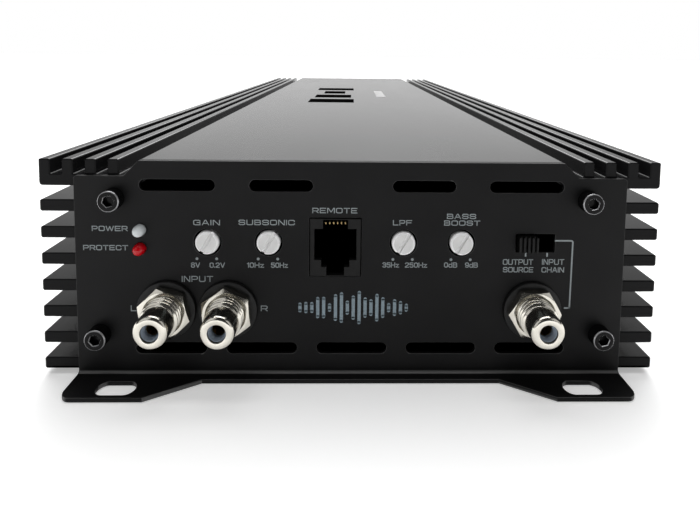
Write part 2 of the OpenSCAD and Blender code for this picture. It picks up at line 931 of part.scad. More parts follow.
module power_transistors() {
    first = -(transistor_count - 1) * transistor_pitch / 2;
    color([0.08, 0.08, 0.08])
        mirror_pair()
            for (i = [0 : transistor_count - 1])
                translate([inner_x - strip_t - transistor_size[0], first + i * transistor_pitch, 0]) {
                    translate([0, -transistor_size[1] / 2, transistor_z])
                        cube(transistor_size);
                    for (k = [-1 : 1])
                        translate([leg_in, k * leg_pitch - leg / 2, board_top])
                            cube([leg, leg, transistor_z - board_top + eps]);
                }
}

module thermal_strips() {
    color([0.6, 0.6, 0.62])
        mirror_pair()
            difference() {
                translate([inner_x - strip_t, -strip_l / 2, transistor_z - 1])
                    cube([strip_t, strip_l, transistor_size[2] + 2]);
                for (y = clamp_screw_ys)
                    translate([inner_x - 2, y, clamp_z + clamp_size[2] / 2])
                        rotate([0, 90, 0])
                            cylinder(r = clamp_screw_r + 0.2, h = 4);
            }
}

module clamp_bars() {
    x = inner_x - strip_t - transistor_size[0] - clamp_size[0];
    color([0.6, 0.6, 0.62])
        mirror_pair()
            difference() {
                translate([x, -clamp_size[1] / 2, clamp_z])
                    cube(clamp_size);
                for (y = clamp_screw_ys)
                    translate([x - 1, y, clamp_z + clamp_size[2] / 2])
                        rotate([0, 90, 0])
                            cylinder(r = clamp_screw_r + 0.2, h = clamp_size[0] + 2);
            }
}

module clamp_screws() {
    x = inner_x - strip_t - transistor_size[0] - clamp_size[0];
    color([0.7, 0.7, 0.7])
        mirror_pair()
            for (y = clamp_screw_ys)
                translate([x, y, clamp_z + clamp_size[2] / 2])
                    rotate([0, 90, 0]) {
                        cylinder(r = clamp_screw_r, h = wall_x - x - 0.6);
                        translate([0, 0, -3])
                            difference() {
                                cylinder(r = 3.4, h = 3);
                                translate([0, 0, -1])
                                    cylinder(d = 3.5, h = 2.8, $fn = 6);
                            }
                    }
}

// --- terminals -------------------------------------------------------------

// The space that a metal terminal takes inside its block.
module terminal_space(x, w) {
    translate([x - w / 2, end_y - terminal_in, terminal_z])
        cube([w, terminal_in + terminal_out, terminal_h]);
}

module terminal_block(at, w, wires) {
    color([0.07, 0.07, 0.07])
        difference() {
            translate([at - w / 2, end_y - block_in, block_z])
                cube([w, block_in + block_out, block_h]);
            for (wire = wires) {
                terminal_space(wire[0], wire[2]);
                translate([wire[0] - wire[2] / 2, end_y - block_in - 1, block_z - 1])
                    cube([wire[2], block_in - terminal_in + 1.1, terminal_z + terminal_h - block_z + 1]);
                rod_y(wire[0], wire_z, wire[1] + 0.3, end_y, end_y + block_out + 1);
                translate([wire[0], end_y + terminal_screw_y, terminal_z])
                    cylinder(r = terminal_screw_r + 0.3, h = block_h);
            }
        }
}

module supply_block() { terminal_block(supply_at, supply_w, supply_wires); }
module speaker_block() { terminal_block(speaker_at, speaker_w, speaker_wires); }

module terminals(wires) {
    color([0.75, 0.74, 0.7])
        for (wire = wires)
            difference() {
                terminal_space(wire[0], wire[2]);
                rod_y(wire[0], wire_z, wire[1], end_y - terminal_in + 3, end_y + terminal_out + 1);
                translate([wire[0], end_y + terminal_screw_y, wire_z])
                    cylinder(r = terminal_screw_r + 0.05, h = terminal_h);
            }
}

module supply_terminals() { terminals(supply_wires); }
module speaker_terminals() { terminals(speaker_wires); }

// Copper straps from the backs of the terminals down to the main board.
module terminal_straps() {
    color([0.72, 0.45, 0.25])
        for (wire = concat(supply_wires, speaker_wires))
            translate([wire[0] - strap_w / 2, end_y - terminal_in - strap_t, board_top])
                cube([strap_w, strap_t, terminal_z + terminal_h - 3 - board_top]);
}

// Hexagon socket grub screws that hold the wires.
module terminal_screws() {
    foot = terminal_z + terminal_h - 2.6;
    color([0.3, 0.3, 0.3])
        for (wire = concat(supply_wires, speaker_wires))
            translate([wire[0], end_y + terminal_screw_y, foot])
                difference() {
                    cylinder(r = terminal_screw_r, h = terminal_screw_h);
                    translate([0, 0, terminal_screw_h - 1.8])
                        cylinder(d = 2.5 / cos(30), h = 2, $fn = 6);
                }
}

heatsink();
front_panel();
rear_panel();
base_plate();
end_panel_screws();
base_screws();
top_badge();
main_board();
preamp_board();
board_screws();
board_standoffs();
preamp_screws();
gain_pot_body();
gain_knob();
subsonic_pot_body();
subsonic_knob();
lowpass_pot_body();
lowpass_knob();
bass_pot_body();
bass_knob();
mode_switch_body();
mode_slider();
remote_jack_housing();
remote_jack_contacts();
left_input_shell();
right_input_shell();
link_shell();
phono_bases();
phono_insulators();
phono_contacts();
phono_nuts();
phono_washers();
power_led();
protect_led();
preamp_chips();
driver_chips();
transformer_cores();
transformer_windings();
choke_cores();
choke_windings();
rail_capacitors();
input_capacitors();
power_transistors();
thermal_strips();
clamp_bars();
clamp_screws();
supply_block();
speaker_block();
supply_terminals();
speaker_terminals();
terminal_straps();
terminal_screws();
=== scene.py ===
"""A car amplifier: black finned heatsink case, control panel with phono jacks, and wire terminals."""

import json
import math

import bmesh
import bpy
from mathutils import Matrix, Vector

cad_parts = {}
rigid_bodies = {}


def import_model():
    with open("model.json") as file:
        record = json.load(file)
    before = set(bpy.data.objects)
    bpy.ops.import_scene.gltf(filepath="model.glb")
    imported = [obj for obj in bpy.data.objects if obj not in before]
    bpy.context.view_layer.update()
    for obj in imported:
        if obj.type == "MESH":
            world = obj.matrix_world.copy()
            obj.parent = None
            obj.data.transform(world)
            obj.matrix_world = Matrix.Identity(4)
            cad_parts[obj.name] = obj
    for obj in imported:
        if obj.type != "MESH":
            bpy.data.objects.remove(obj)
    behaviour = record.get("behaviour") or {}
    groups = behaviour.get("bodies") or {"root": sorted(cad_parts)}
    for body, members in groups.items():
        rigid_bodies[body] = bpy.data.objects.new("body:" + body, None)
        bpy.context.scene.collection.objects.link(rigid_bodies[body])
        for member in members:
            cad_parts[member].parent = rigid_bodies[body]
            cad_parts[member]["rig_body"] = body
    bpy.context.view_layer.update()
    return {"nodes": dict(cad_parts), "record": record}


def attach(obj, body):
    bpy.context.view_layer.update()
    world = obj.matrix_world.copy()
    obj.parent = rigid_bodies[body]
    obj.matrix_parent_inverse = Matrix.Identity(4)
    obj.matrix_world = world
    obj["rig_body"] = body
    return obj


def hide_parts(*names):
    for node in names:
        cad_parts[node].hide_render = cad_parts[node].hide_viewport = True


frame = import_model()
MM = 0.001
CHASSIS = "chassis"

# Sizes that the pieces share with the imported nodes, in millimetres.
CASE_TOP = 57.0
SINK_END = 190.0
FACE = 191.2
HALF_WIDTH = 80.0
PLATEAU_X, PLATEAU_RISE = 54.2, 3.9
RIB_COUNT, RIB_PITCH, RIB_T = 4, 5.8, 2.8
RAIL_LOW = 50.1
FIN_COUNT, FIRST_FIN, FIN_PITCH, FIN_T = 7, 46.5, 7.0, 3.1
TOOTH_COUNT, TOOTH_START, TOOTH_HALF, TOOTH_DEPTH = 9, HALF_WIDTH - 1.2, 0.45, 0.5
WALL_X, INNER_X, WALL_LOW = 69.8, 65.3, 1.6
LEDGE_X, LEDGE_LOW, LEDGE_TOP = 55.2, 3.5, 8.4
ROOF_Z, ROOF_T = 52.0, 4
TOP_PORT, LOW_PORT, PORT_R = (60.5, 47.3), (64.7, 11.6), 3.4
PHONO_XS, PHONO_Z = (-47.5, -31.8, 46.8), 18.4
THREAD_BORE, WASHER_T, WASHER_R = 4.8, 1.0, 7.5
NUT_AF, NUT_T, NUT_TURNS = 11.8, 2.2, (104, 95, 60)
KNOB_XS, KNOB_PROUD = (-37.1, -21.5, 13.1, 28.1), 0.8
LED_X, LED_ZS, LED_R = -54.2, (39.0, 34.2), 1.5
JACK_X, JACK_FRONT = -4.4, -FACE - 0.3
SWITCH_X = 47.6

# The printing stands this far off the panel, and is this thick.
PRINT_LIFT, FILM = 0.03, 0.02


# --- materials -------------------------------------------------------------


class Surface:
    """A procedural material: its Principled shader, and helpers that add noise to its sockets."""

    def __init__(self, name, color, roughness, metallic=0.0, **sockets):
        self.material = bpy.data.materials.new(name)
        self.material.use_nodes = True
        self.tree = self.material.node_tree
        self.shader = self.tree.nodes["Principled BSDF"]
        self.put("Base Color", (*color, 1.0))
        self.put("Roughness", roughness)
        self.put("Metallic", metallic)
        for socket, value in sockets.items():
            self.put(socket.replace("_", " "), value)
        self.place = self.node("ShaderNodeTexCoord").outputs["Object"]
        self.height = None

    def put(self, socket, value):
        self.shader.inputs[socket].default_value = value

    def node(self, kind, **settings):
        made = self.tree.nodes.new(kind)
        for key, value in settings.items():
            setattr(made, key, value)
        return made

    def link(self, source, target):
        self.tree.links.new(source, target)

    def noise(self, size_mm, detail, stretch=(1, 1, 1)):
        """Noise whose features are about size_mm across, drawn out along an axis by stretch."""
        mapping = self.node("ShaderNodeMapping")
        mapping.inputs["Scale"].default_value = [1000 / size_mm / s for s in stretch]
        texture = self.node("ShaderNodeTexNoise")
        texture.inputs["Scale"].default_value = 1.0
        texture.inputs["Detail"].default_value = detail
        self.link(self.place, mapping.inputs["Vector"])
        self.link(mapping.outputs["Vector"], texture.inputs["Vector"])
        return texture.outputs["Fac"]

    def split(self, vector, axis, operation, other=0.0):
        """One coordinate of a vector, through a maths operation with another value."""
        parts = self.node("ShaderNodeSeparateXYZ")
        self.link(vector, parts.inputs["Vector"])
        result = self.node("ShaderNodeMath", operation=operation)
        result.inputs[1].default_value = other
        self.link(parts.outputs[axis], result.inputs[0])
        return result.outputs[0]

    def spread(self, source, low, high, start=0.3, end=0.7):
        """Maps source's start to end onto low to high."""
        ranged = self.node("ShaderNodeMapRange", clamp=True)
        for socket, value in (("From Min", start), ("From Max", end), ("To Min", low), ("To Max", high)):
            ranged.inputs[socket].default_value = value
        self.link(source, ranged.inputs["Value"])
        return ranged.outputs["Result"]

    def vary_roughness(self, size_mm, low, high, stretch=(1, 1, 1)):
        self.link(self.spread(self.noise(size_mm, 4.0, stretch), low, high), self.shader.inputs["Roughness"])

    def tint(self, other, mask):
        """Turns the colour, so far, towards another where the mask is 1."""
        base = self.shader.inputs["Base Color"]
        mix = self.node("ShaderNodeMix", data_type="RGBA")
        if base.links:
            self.link(base.links[0].from_socket, mix.inputs["A"])
        else:
            mix.inputs["A"].default_value = base.default_value
        mix.inputs["B"].default_value = (*other, 1.0)
        self.link(mask, mix.inputs["Factor"])
        self.link(mix.outputs["Result"], base)

    def vary_color(self, other, size_mm, stretch=(1, 1, 1)):
        self.tint(other, self.spread(self.noise(size_mm, 5.0, stretch), 0, 1, 0.35, 0.75))

    def facing(self, axis):
        """How far the surface faces along an axis, from 0 to 1."""
        return self.split(self.node("ShaderNodeTexCoord").outputs["Normal"], axis, "ABSOLUTE")

    def rounded_edges(self):
        """1 on the rounded edges between faces along Y and across it, 0 on the faces themselves."""
        facing = self.facing("Y")
        both = self.node("ShaderNodeMath", operation="MULTIPLY")
        self.link(self.spread(facing, 0, 1, 0.2, 0.4), both.inputs[0])
        self.link(self.spread(facing, 1, 0, 0.88, 0.98), both.inputs[1])
        return both.outputs[0]

    def bump(self, size_mm, depth_mm, stretch=(1, 1, 1)):
        """Adds relief of about depth_mm; calls chain."""
        bump = self.node("ShaderNodeBump")
        bump.inputs["Strength"].default_value = 1.0
        bump.inputs["Distance"].default_value = depth_mm * MM
        self.link(self.noise(size_mm, 3.0, stretch), bump.inputs["Height"])
        if self.height is not None:
            self.link(self.height, bump.inputs["Normal"])
        self.height = bump.outputs["Normal"]
        self.link(self.height, self.shader.inputs["Normal"])


def paint(name, color, roughness, grain_mm, grain_depth):
    """Black paint or powder coat, with a fine grain; its rounded edges are tinted lighter and made glossier,
    a painted highlight.
    """
    painted_edge_highlight = (0.07, 0.07, 0.07)
    made = Surface(name, color, roughness)
    made.vary_color([c * 1.25 + 0.001 for c in color], 30)
    made.vary_roughness(14, roughness - 0.05, roughness + 0.05)
    made.bump(grain_mm, grain_depth)
    # Painted highlight: the rounded edges are tinted light grey in place of the light they catch.
    made.tint(painted_edge_highlight, made.rounded_edges())
    made.link(made.spread(made.rounded_edges(), 0.12, 0.6, 0, 1), made.shader.inputs["Specular IOR Level"])
    return made


def extruded_paint(name, color, roughness):
    """Satin paint over an extrusion, with faint die lines; dull on its sawn ends, and dull between its ribs
    as painted shade.
    """
    dull, satin = 0.06, 0.5
    made = Surface(name, color, roughness)
    made.vary_color([c * 1.3 + 0.001 for c in color], 40, (1, 4, 1))
    made.vary_roughness(25, roughness - 0.015, roughness + 0.015, (1, 3, 1))
    made.bump(0.7, 0.0006, (1, 200, 1))
    made.bump(0.35, 0.0006)
    aside = made.split(made.place, "X", "ABSOLUTE")
    # Painted shade: walls that face sideways inside the outline reflect less, so the gaps between the ribs
    # and fins read dark.
    either = made.node("ShaderNodeMath", operation="MAXIMUM")
    made.link(made.spread(made.facing("Z"), dull, satin, 0.72, 0.97), either.inputs[0])
    made.link(made.spread(aside, dull, satin, (HALF_WIDTH - 0.5) * MM, HALF_WIDTH * MM), either.inputs[1])
    made.link(either.outputs[0], made.shader.inputs["Specular IOR Level"])
    return made


def blackened_screw(name, roughness):
    """Black oxide, with a painted highlight: its rounded edges are made metallic and light grey."""
    made = plastic(name, (0.003, 0.003, 0.0032), roughness, Specular_IOR_Level=0.1)
    # Painted highlight: metallic, light grey rounded edges draw the bright rim on each head.
    made.link(made.spread(made.rounded_edges(), 0.0, 0.7, 0, 1), made.shader.inputs["Metallic"])
    made.tint((0.36, 0.36, 0.37), made.rounded_edges())
    return made


def satin_knob(name, color, roughness):
    """A silvered knob, with painted highlights: lighter on its rim and along the floor of its slot."""
    painted_highlight = (0.9, 0.9, 0.9)
    made = plastic(name, color, roughness)
    # Painted highlight on the rounded rim.
    made.tint(painted_highlight, made.rounded_edges())
    # Painted highlight: everything more than about 0.6 mm behind the knob's face, the slot floor among it, is
    # tinted light where it would lie in shade.
    inward = made.split(made.place, "Y", "ADD", (FACE + KNOB_PROUD) * MM)
    made.tint(painted_highlight, made.spread(inward, 0, 1, 0.6 * MM, 0.9 * MM))
    return made


def metal(name, color, roughness, brush=(1, 1, 1), depth=0.001):
    """Bare metal, faintly uneven, that brush draws out along an axis."""
    made = Surface(name, color, roughness, 1.0)
    made.vary_color([c * 0.85 for c in color], 3)
    made.vary_roughness(2.5, roughness * 0.85, roughness * 1.2, brush)
    made.bump(0.4, depth, brush)
    return made


def plastic(name, color, roughness, **sockets):
    """Moulded plastic, with a faint unevenness."""
    made = Surface(name, color, roughness, **sockets)
    made.vary_color([min(0.9, c * 1.15 + 0.001) for c in color], 4)
    made.vary_roughness(1.5, roughness - 0.04, roughness + 0.05)
    made.bump(0.15, 0.002)
    return made


def printing(name, color, **sockets):
    """Screen-printed ink."""
    made = Surface(name, color, 0.5, **sockets)
    made.vary_color([c * 0.8 for c in color], 0.5)
    made.bump(0.1, 0.002)
    return made


def make_surfaces():
    """The material of each slot."""
    return {
        "case_paint": extruded_paint("satin_black_extrusion", (0.0055, 0.0055, 0.0058), 0.17),
        "panel_paint": paint("matte_black_panel", (0.0042, 0.0042, 0.0045), 0.5, 0.22, 0.012),
        "base_paint": paint("black_base", (0.02, 0.02, 0.021), 0.55, 0.3, 0.01),
        "black_screw": blackened_screw("black_oxide", 0.22),
        "dark_screw": metal("black_zinc", (0.16, 0.16, 0.165), 0.35),
        "badge_metal": plastic("satin_silver", (0.3, 0.3, 0.3), 0.45, Specular_IOR_Level=0.2),
        "board_green": plastic("solder_mask", (0.02, 0.1, 0.045), 0.35),
        "zinc_screw": metal("zinc_plate", (0.6, 0.6, 0.58), 0.32),
        "spacer_brass": metal("turned_brass", (0.75, 0.58, 0.28), 0.3),
        "pot_plastic": plastic("pot_blue", (0.01, 0.015, 0.04), 0.4),
        "knob_plastic": satin_knob("knob_silver", (0.58, 0.58, 0.575), 0.4),
        "black_plastic": plastic("moulded_black", (0.003, 0.003, 0.003), 0.4, Specular_IOR_Level=0.15),
        "contact_gold": metal("gold_flash", (0.62, 0.46, 0.22), 0.3),
        "nickel": metal("bright_nickel", (0.66, 0.635, 0.57), 0.16, (1, 1, 1), 0.0001),
        "liner_plastic": plastic("liner_grey", (0.2, 0.235, 0.28), 0.35),
        "washer_fibre": plastic("washer_black", (0.003, 0.003, 0.003), 0.45, Specular_IOR_Level=0.25),
        "led_clear": plastic("clear_lens", (0.57, 0.605, 0.615), 0.12, Coat_Weight=0.2),
        "led_red": plastic("red_lens", (0.45, 0.001, 0.006), 0.12, Specular_IOR_Level=0.35),
        "chip_resin": plastic("chip_resin", (0.015, 0.015, 0.015), 0.5),
        "ferrite": plastic("ferrite_grey", (0.05, 0.05, 0.055), 0.6),
        "iron_powder": plastic("core_yellow", (0.5, 0.42, 0.05), 0.5),
        "copper": metal("enamelled_copper", (0.75, 0.32, 0.16), 0.25),
        "can_sleeve": plastic("can_sleeve", (0.01, 0.012, 0.035), 0.25),
        "thermal_pad": plastic("silicone_pad", (0.3, 0.3, 0.32), 0.7),
        "bar_aluminium": metal("sawn_aluminium", (0.75, 0.75, 0.75), 0.35, (1, 30, 1)),
    }


SURFACES = make_surfaces()
SLOTS = {part["node"]: part["material_slot"] for part in frame["record"]["subparts"]}


# --- building pieces -------------------------------------------------------


def finish_mesh(mesh, sharp_degrees):
    """Smooth shading, but for edges sharper than the angle."""
    for name in ("custom_normal", "sharp_edge"):
        if name in mesh.attributes:
            mesh.attributes.remove(mesh.attributes[name])
    mesh.polygons.foreach_set("use_smooth", [True] * len(mesh.polygons))
    mesh.set_sharp_from_angle(angle=math.radians(sharp_degrees))
    mesh.update()


def add_piece(name, mesh, slot, body=CHASSIS, replaced=(), surface=None):
    """Makes a piece of a finished mesh, in metres in the shared frame, with its slot's surface or its own."""
    piece = bpy.data.objects.new(name, mesh)
    bpy.context.scene.collection.objects.link(piece)
    mesh.materials.clear()
    mesh.materials.append((surface or SURFACES[slot]).material)
    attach(piece, body)
    if replaced:
        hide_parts(*replaced)


def evaluated(mesh, kind, **settings):
    """The mesh after a modifier of the kind."""
    holder = bpy.data.objects.new("holder", mesh)
    bpy.context.scene.collection.objects.link(holder)
    modifier = holder.modifiers.new(kind, kind)
    for key, value in settings.items():
        setattr(modifier, key, value)
    graph = bpy.context.evaluated_depsgraph_get()
    result = bpy.data.meshes.new_from_object(holder.evaluated_get(graph))
    bpy.data.objects.remove(holder)
    return result


def soften_node(node, width_mm):
    """Replaces a CAD node by a copy with its sharp edges rounded."""
    mesh = frame["nodes"][node].data.copy()
    bm = bmesh.new()
    bm.from_mesh(mesh)
    bmesh.ops.remove_doubles(bm, verts=bm.verts, dist=2e-6)
    bmesh.ops.dissolve_limit(bm, angle_limit=math.radians(1), verts=bm.verts, edges=bm.edges)
    bm.to_mesh(mesh)
    bm.free()
    if "custom_normal" in mesh.attributes:
        mesh.attributes.remove(mesh.attributes["custom_normal"])
    mesh = evaluated(mesh, "BEVEL", width=width_mm * MM, segments=2, limit_method="ANGLE",
                     angle_limit=math.radians(32), use_clamp_overlap=False, miter_outer="MITER_ARC")
    finish_mesh(mesh, 25)
    mesh = evaluated(mesh, "WEIGHTED_NORMAL", keep_sharp=True)
    add_piece(node + "_rounded", mesh, SLOTS[node], frame["nodes"][node]["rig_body"], (node,))


def mesh_from(bm, name):
    """The mesh of a finished bmesh, with its faces turned outwards."""
    bmesh.ops.recalc_face_normals(bm, faces=bm.faces)
    mesh = bpy.data.meshes.new(name)
    bm.to_mesh(mesh)
    bm.free()
    return mesh


def rounded_outline(corners):
    """Points along an outline of (x, z, radius) corners, with an arc at each corner that has a radius."""
    steps = 4
    points = []
    for i, (x, z, radius) in enumerate(corners):
        here = Vector((x, z))
        before = Vector(corners[i - 1][:2]) - here
        after = Vector(corners[(i + 1) % len(corners)][:2]) - here
        if radius == 0:
            points.append(here)
            continue
        before.normalize()
        after.normalize()
        half = before.angle(after) / 2
        reach = radius / math.tan(half)
        centre = here + (before + after).normalized() * (radius / math.sin(half))
        first = here + before * reach - centre
        last = here + after * reach - centre
        turn = first.angle_signed(last)
        for k in range(steps + 1):
            angle = -turn * k / steps
            points.append(centre + Matrix.Rotation(angle, 2) @ first)
    return points


def shifted_inwards(points, distance):
    """The outline moved inwards, for a chamfer at the end of an extrusion."""
    area = sum(a.x * b.y - b.x * a.y for a, b in zip(points, points[1:] + points[:1]))
    side = 1 if area > 0 else -1
    moved = []
    for i, point in enumerate(points):
        ahead = (points[(i + 1) % len(points)] - point).normalized()
        behind = (point - points[i - 1]).normalized()
        normal = Vector((-ahead.y - behind.y, ahead.x + behind.x)) * side
        normal.normalize()
        moved.append(point + normal * distance / max(0.5, normal.dot(Vector((-ahead.y, ahead.x)) * side)))
    return moved


def ring_of(bm, points, middle, y):
    """Vertices along an XZ outline in millimetres that is centred on middle."""
    return [bm.verts.new(((middle + p.x) * MM, y * MM, p.y * MM)) for p in points]


def walled(bm, near, far):
    """Joins two rings of vertices with faces."""
    for i in range(len(near)):
        j = (i + 1) % len(near)
        bm.faces.new((near[i], near[j], far[j], far[i]))


def extruded_along_y(points, y0, y1, chamfer, name):
    """A solid of an XZ outline in millimetres, with a small chamfer round both ends."""
    bm = bmesh.new()
    inner = shifted_inwards(points, chamfer)
    ends = (inner, y0), (points, y0 + chamfer), (points, y1 - chamfer), (inner, y1)
    rings = [ring_of(bm, outline, 0, y) for outline, y in ends]
    for low, high in zip(rings, rings[1:]):
        walled(bm, low, high)
    bm.faces.new(rings[0])
    bm.faces.new(rings[-1])
    return mesh_from(bm, name)


def lathe(bm, rings, centre, turns=96):
    """Adds a closed surface of revolution about -Y.

    rings is a closed loop of (radius, depth) in millimetres, where each may be a function of the angle.
    """

    def value(item, angle):
        return item(angle) if callable(item) else item

    grid = []
    for i in range(turns):
        angle = 2 * math.pi * i / turns
        row = []
        for radius, depth in rings:
            r = value(radius, angle)
            place = (centre[0] + r * math.cos(angle), centre[1] - value(depth, angle),
                     centre[2] + r * math.sin(angle))
            row.append(bm.verts.new([v * MM for v in place]))
        grid.append(row)
    for i in range(turns):
        here, there = grid[i], grid[(i + 1) % turns]
        for j in range(len(rings)):
            k = (j + 1) % len(rings)
            bm.faces.new((here[j], here[k], there[k], there[j]))


# --- case ------------------------------------------------------------------


def half_sink_corners():
    """The right half of the extrusion's outline, from the top's middle down the fins and back inside."""
    plateau = CASE_TOP - 0.06
    shoulder = CASE_TOP - PLATEAU_RISE
    rib_r, root_r, rail_r, fin_r, tooth_r, port_r = 0.45, 0.3, 0.9, 0.6, 0.06, 1.6
    corners = [(PLATEAU_X, plateau, 0.5), (PLATEAU_X + PLATEAU_RISE, shoulder, 0.25)]
    for i in reversed(range(RIB_COUNT)):
        right = HALF_WIDTH - i * RIB_PITCH
        left = right - RIB_T
        corners += [(left, shoulder, root_r), (left, CASE_TOP, rib_r), (right, CASE_TOP, rib_r)]
        if i:
            corners.append((right, shoulder, root_r))
    corners += [(HALF_WIDTH, RAIL_LOW, rail_r), (WALL_X, RAIL_LOW, 0.5)]
    for i in range(FIN_COUNT):
        top = FIRST_FIN - i * FIN_PITCH
        bottom = top - FIN_T
        corners += [(WALL_X, top, fin_r), (HALF_WIDTH, top, fin_r), (HALF_WIDTH, bottom, fin_r)]
        if i < FIN_COUNT - 1:
            corners.append((WALL_X, bottom, fin_r))
    for i in range(TOOTH_COUNT):
        x = TOOTH_START - i
        corners += [(x + TOOTH_HALF, bottom, tooth_r), (x, bottom + TOOTH_DEPTH, tooth_r),
                    (x - TOOTH_HALF, bottom, tooth_r)]
    low_x, low_z = LOW_PORT[0] - PORT_R, LOW_PORT[1] + PORT_R
    high_x, high_z = TOP_PORT[0] - PORT_R, TOP_PORT[1] - PORT_R
    eaves = shoulder - ROOF_T
    corners += [(WALL_X, bottom, 0), (WALL_X, WALL_LOW, 0), (INNER_X, WALL_LOW, root_r),
                (INNER_X, LEDGE_LOW, 0), (LEDGE_X, LEDGE_LOW, root_r), (LEDGE_X, LEDGE_TOP, root_r),
                (low_x, LEDGE_TOP, 0), (low_x, low_z, port_r), (INNER_X, low_z, root_r),
                (INNER_X, high_z, 0.5), (high_x, high_z, port_r), (high_x, eaves, root_r),
                (PLATEAU_X - 2, eaves, 0.5), (PLATEAU_X - 2, ROOF_Z, 0.5)]
    return corners


def make_heatsink():
    """The extrusion that is the case: ribbed top, finned sides."""
    right = half_sink_corners()
    left = [(-x, z, r) for x, z, r in reversed(right)]
    outline = rounded_outline(right + left)
    mesh = extruded_along_y(outline, -SINK_END, SINK_END, 0.25, "heatsink")
    finish_mesh(mesh, 30)
    add_piece("finned_case", mesh, "case_paint", replaced=("heatsink",))


def make_plain_nodes():
    """CAD nodes that show, with their edges rounded by as much as such pieces have."""
    for node, width in (("front_panel", 0.22), ("rear_panel", 0.22), ("base_plate", 0.2), ("top_badge", 0.06),
                        ("mode_slider", 0.1), ("mode_switch_body", 0.2),
                        ("gain_knob", 0.13), ("subsonic_knob", 0.13), ("lowpass_knob", 0.13),
                        ("bass_knob", 0.13), ("phono_bases", 0.3), ("supply_block", 0.35),
                        ("speaker_block", 0.35), ("supply_terminals", 0.25), ("speaker_terminals", 0.25),
                        ("terminal_screws", 0.12), ("phono_insulators", 0.08)):
        soften_node(node, width)


def mirrored(points):
    """Closes the right half of an outline about x = 0."""
    return [Vector(p) for p in points] + [Vector((-p[0], p[1])) for p in reversed(points)]


def fill_between(bm, *loops):
    """Fills the face between rings of vertices."""
    edges = [bm.edges.get((loop[i], loop[i - 1])) for loop in loops for i in range(len(loop))]
    bmesh.ops.triangle_fill(bm, edges=edges, use_beauty=True)


def make_jack_housing():
    """The modular jack's shell, with its stepped mouth and the comb over the contacts."""
    half, low, high = 6.5, 27.2, 42.3
    depth, mouth_depth, soft = 15.5, 11.5, 0.12
    shell = mirrored([(half, low), (half, high)])
    mouth = mirrored([(2.25, 27.5), (2.25, 29.7), (3.6, 29.7), (3.6, 31.55), (5.38, 31.55), (5.38, 39.65),
                      (3.18, 39.65), (3.18, 42.0)])
    bm = bmesh.new()
    face = ring_of(bm, shifted_inwards(shell, soft), JACK_X, JACK_FRONT)
    edge = ring_of(bm, shell, JACK_X, JACK_FRONT + soft)
    rear = ring_of(bm, shell, JACK_X, JACK_FRONT + depth)
    rim = ring_of(bm, shifted_inwards(mouth, -soft / 2), JACK_X, JACK_FRONT)
    lip = ring_of(bm, mouth, JACK_X, JACK_FRONT + soft / 2)
    deep = ring_of(bm, mouth, JACK_X, JACK_FRONT + mouth_depth)
    for near, far in ((face, edge), (edge, rear), (rim, lip), (lip, deep)):
        walled(bm, near, far)
    fill_between(bm, face, rim)
    bm.faces.new(rear)
    bm.faces.new(deep)
    mesh = mesh_from(bm, "jack_housing")
    finish_mesh(mesh, 38)
    add_piece("remote_jack_shell", mesh, "black_plastic", replaced=("remote_jack_housing",))


def make_jack_contacts():
    """Six sprung wires, bent over at the comb, that slope down to the back of the jack."""
    wire_r, count, pitch = 0.22, 6, 1.02
    slope = math.radians(14)
    tip = JACK_FRONT + 1.35
    path = [(tip + 0.5, 40.35), (tip + 0.12, 40.5), (tip, 40.8), (tip + 0.12, 41.05), (tip + 0.5, 41.15),
            (tip + 1.2, 41.0), (tip + 10, 41.0 - 8.8 * math.tan(slope))]
    bm = bmesh.new()
    for i in range(count):
        x = JACK_X + (i - (count - 1) / 2) * pitch
        rows = []
        for k, (y, z) in enumerate(path):
            before, after = path[max(0, k - 1)], path[min(len(path) - 1, k + 1)]
            along = Vector((after[0] - before[0], after[1] - before[1])).normalized()
            row = []
            for step in range(8):
                angle = math.pi / 4 * step
                side, rise = wire_r * math.cos(angle), wire_r * math.sin(angle)
                place = (x + side, y - along.y * rise, z + along.x * rise)
                row.append(bm.verts.new([v * MM for v in place]))
            rows.append(row)
        for near, far in zip(rows, rows[1:]):
            walled(bm, near, far)
        bm.faces.new(rows[0])
        bm.faces.new(rows[-1])
    mesh = mesh_from(bm, "jack_contacts")
    finish_mesh(mesh, 50)
    add_piece("remote_jack_wires", mesh, "contact_gold", replaced=("remote_jack_contacts",))


def dress_hidden_nodes():
    """Gives every other CAD node its material."""
    for node, piece in frame["nodes"].items():
        if piece.hide_render:
            continue
        piece.data.materials.clear()
        piece.data.materials.append(SURFACES[SLOTS[node]].material)


# --- turned pieces ---------------------------------------------------------


def thread_rings(outer, root, start, end, pitch):
    """A helical thread with rounded crests, as ring functions of the angle, from start to end."""
    per_turn = 14
    rings = []
    count = int((end - start) / pitch * per_turn)
    for i in range(count + 1):
        depth = start + (end - start) * i / count

        def radius(angle, depth=depth):
            wave = 0.5 + 0.5 * math.cos(2 * math.pi * depth / pitch + angle)
            fade = min(1.0, (depth - start) / 0.3, (end - depth) / 0.5)
            return root + (outer - root) * wave ** 0.8 * max(0.0, fade)

        rings.append((radius, depth))
    return rings


